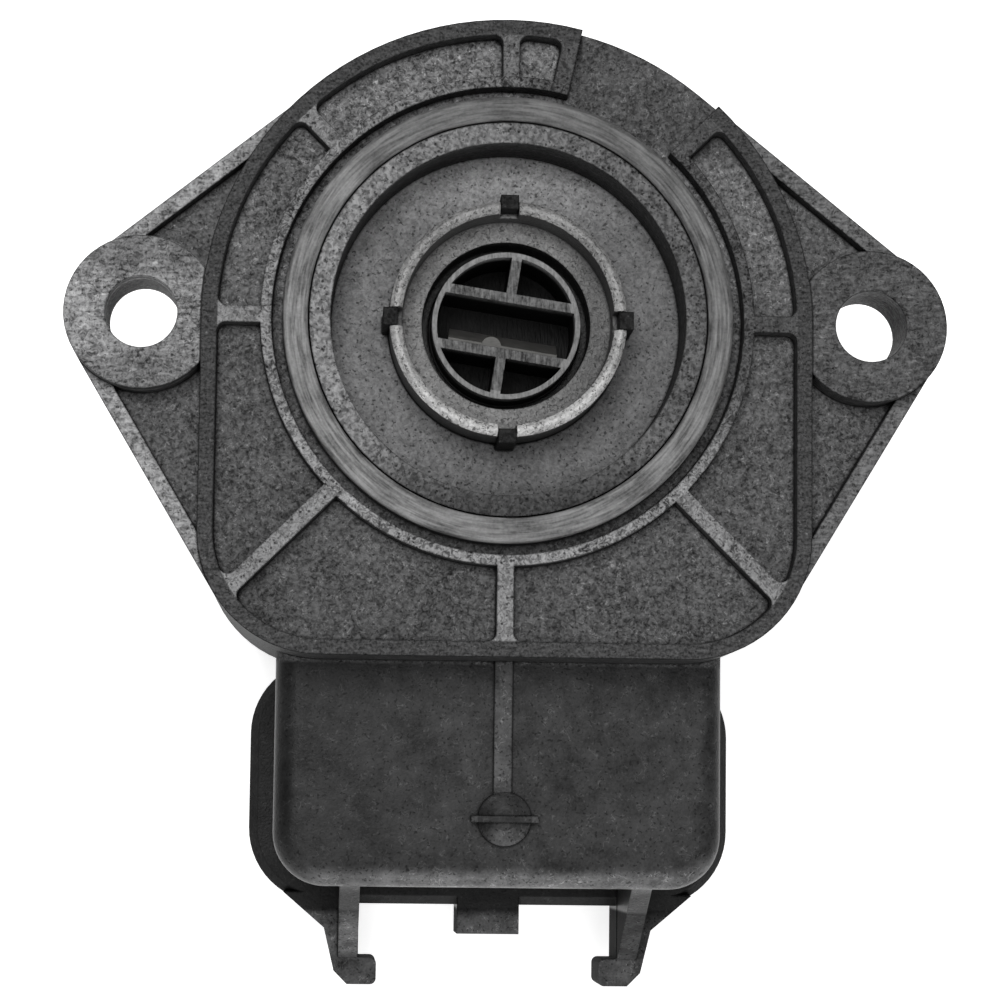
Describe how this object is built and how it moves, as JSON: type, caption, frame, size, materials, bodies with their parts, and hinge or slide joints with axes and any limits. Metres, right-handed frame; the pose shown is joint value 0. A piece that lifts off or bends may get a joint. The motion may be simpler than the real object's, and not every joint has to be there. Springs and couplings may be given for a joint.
{
  "type": "throttle position sensor",
  "caption": "Rotary throttle position sensor: black moulded housing with fixing ears, sealed keyed bearing, sprung slotted rotor and a rear-facing connector socket.",
  "frame": {"origin": "on the mounting face of the two ears, on the rotor's axis, midway between the fixing holes", "axes": "+Z out of the mounting face along the rotor's axis, towards the throttle shaft; +X along the line of the fixing holes; the connector lies towards -Y and its socket opens towards -Z"},
  "size_m": [0.069, 0.0762, 0.0282],
  "materials": {
    "housing_plastic": "moulded, slightly grained",
    "bearing_plastic": "smooth moulded",
    "rotor_plastic": "smooth moulded",
    "seal_rubber": "satin",
    "spring_steel": "satin",
    "contact_metal": "plated",
    "board": "laminate"
  },
  "bodies": {
    "housing_body": {"housing": "housing_plastic", "mounting_seal": "seal_rubber", "bearing_insert": "bearing_plastic", "return_spring": "spring_steel", "track_board": "board", "rear_cover": "housing_plastic", "terminal_1": "contact_metal", "terminal_2": "contact_metal", "terminal_3": "contact_metal", "terminal_4": "contact_metal", "terminal_5": "contact_metal", "terminal_6": "contact_metal"},
    "rotor_body": {"rotor": "rotor_plastic", "drive_leaf_spring": "spring_steel", "wiper_inner": "contact_metal", "wiper_outer": "contact_metal"}
  },
  "joints": [
    {"name": "rotor_turn", "type": "hinge", "parent": "housing_body", "child": "rotor_body", "pos_m": [0, 0, -0.007], "axis": [0, 0, 1], "range_deg": [0, 100], "stiffness_Nm_per_rad": 0.02, "springref_deg": -28.65, "deforming": ["return_spring"]}
  ]
}
